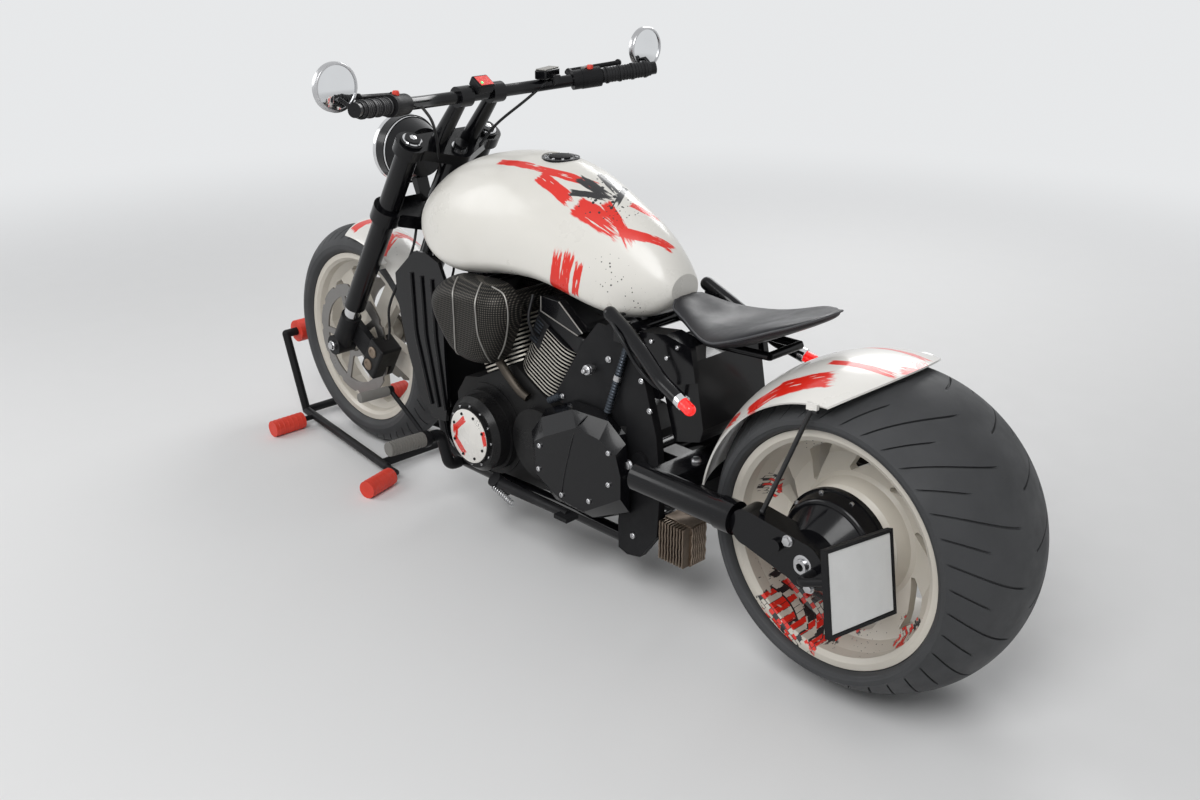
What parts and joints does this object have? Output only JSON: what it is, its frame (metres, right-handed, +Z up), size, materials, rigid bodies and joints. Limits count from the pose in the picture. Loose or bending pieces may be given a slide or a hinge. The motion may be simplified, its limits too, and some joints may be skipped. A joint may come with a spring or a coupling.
{
  "type": "chopper motorcycle",
  "caption": "Long, low custom motorcycle with a vee-twin engine, stretched tank, solo seat, wide rear tyre, shaft drive and raked fork, standing upright in a front-wheel chock.",
  "frame": {"origin": "on the ground, below the middle of the whole object", "axes": "+X forward along the machine, +Y to its left, +Z up"},
  "size_m": [2.4289, 1.0438, 1.1801],
  "materials": {
    "black_gloss": "high-gloss black paint",
    "black_satin": "satin black coating",
    "cylinder_fins": "black cast fins with machined bright edges",
    "pale_paint": "satin off-white paint with red strokes",
    "cream_wheel": "satin cream paint",
    "tyre_rubber": "black tyre rubber",
    "disc_steel": "ground steel",
    "bright_metal": "bright plated",
    "mirror_metal": "gloss black with mirror glass",
    "grille_mesh": "black woven wire mesh",
    "cast_alloy": "dull cast alloy",
    "seat_leather": "smooth black leather with a sheen",
    "grip_rubber": "ribbed black rubber",
    "red_plastic": "red moulded rubber",
    "lamp_red": "red lens in a black cup"
  },
  "bodies": {
    "frame": {"main_frame": "black_gloss", "pivot_plates": "black_satin", "rear_loops": "black_gloss", "tail_lamps": "lamp_red", "side_covers": "black_gloss", "radiator": "cast_alloy", "radiator_cowl": "black_gloss", "crankcase": "black_satin", "front_cylinder": "cylinder_fins", "rear_cylinder": "cylinder_fins", "alternator_cover": "black_gloss", "clutch_cover": "black_gloss", "drive_cover": "black_gloss", "air_cleaners": "grille_mesh", "exhaust": "black_satin", "fuel_tank": "pale_paint", "fuel_cap": "bright_metal", "seat": "seat_leather", "rectifier": "cast_alloy", "foot_controls": "black_satin", "swingarm": "black_gloss", "final_drive": "black_gloss", "rear_axle": "bright_metal", "rear_caliper": "black_satin", "rear_fender": "pale_paint", "number_plate": "black_satin"},
    "steering": {"fork_tubes": "black_gloss", "fork_sliders": "bright_metal", "fork_feet": "black_satin", "front_calipers": "black_satin", "front_axle": "bright_metal", "fork_yokes": "black_gloss", "handlebar": "black_gloss", "risers": "black_gloss", "grips": "grip_rubber", "hand_controls": "black_satin", "mirrors": "mirror_metal", "headlight": "black_gloss", "gauge": "black_satin", "front_fender": "pale_paint", "chock_frame": "black_satin", "chock_rollers": "red_plastic"},
    "front_wheel": {"front_tyre": "tyre_rubber", "front_wheel": "cream_wheel", "front_brake_discs": "disc_steel"},
    "rear_wheel": {"rear_tyre": "tyre_rubber", "rear_wheel": "cream_wheel", "rear_brake_disc": "disc_steel"},
    "side_stand": {"side_stand": "black_satin"}
  },
  "joints": [
    {"name": "steering", "type": "hinge", "parent": "frame", "child": "steering", "pos_m": [0.80363, 0, 0.29449], "axis": [-0.5225, 0, 0.8526], "range_deg": [-30, 30]},
    {"name": "front_wheel_spin", "type": "hinge", "parent": "steering", "child": "front_wheel", "pos_m": [0.842, 0, 0.318], "axis": [0, 1, 0], "continuous": true},
    {"name": "rear_wheel_spin", "type": "hinge", "parent": "frame", "child": "rear_wheel", "pos_m": [-0.866, 0, 0.338], "axis": [0, 1, 0], "continuous": true},
    {"name": "side_stand_fold", "type": "hinge", "parent": "frame", "child": "side_stand", "pos_m": [0.122, 0.16, 0.146], "axis": [-0.168, -0.6663, -0.7265], "range_deg": [0, 98]}
  ]
}
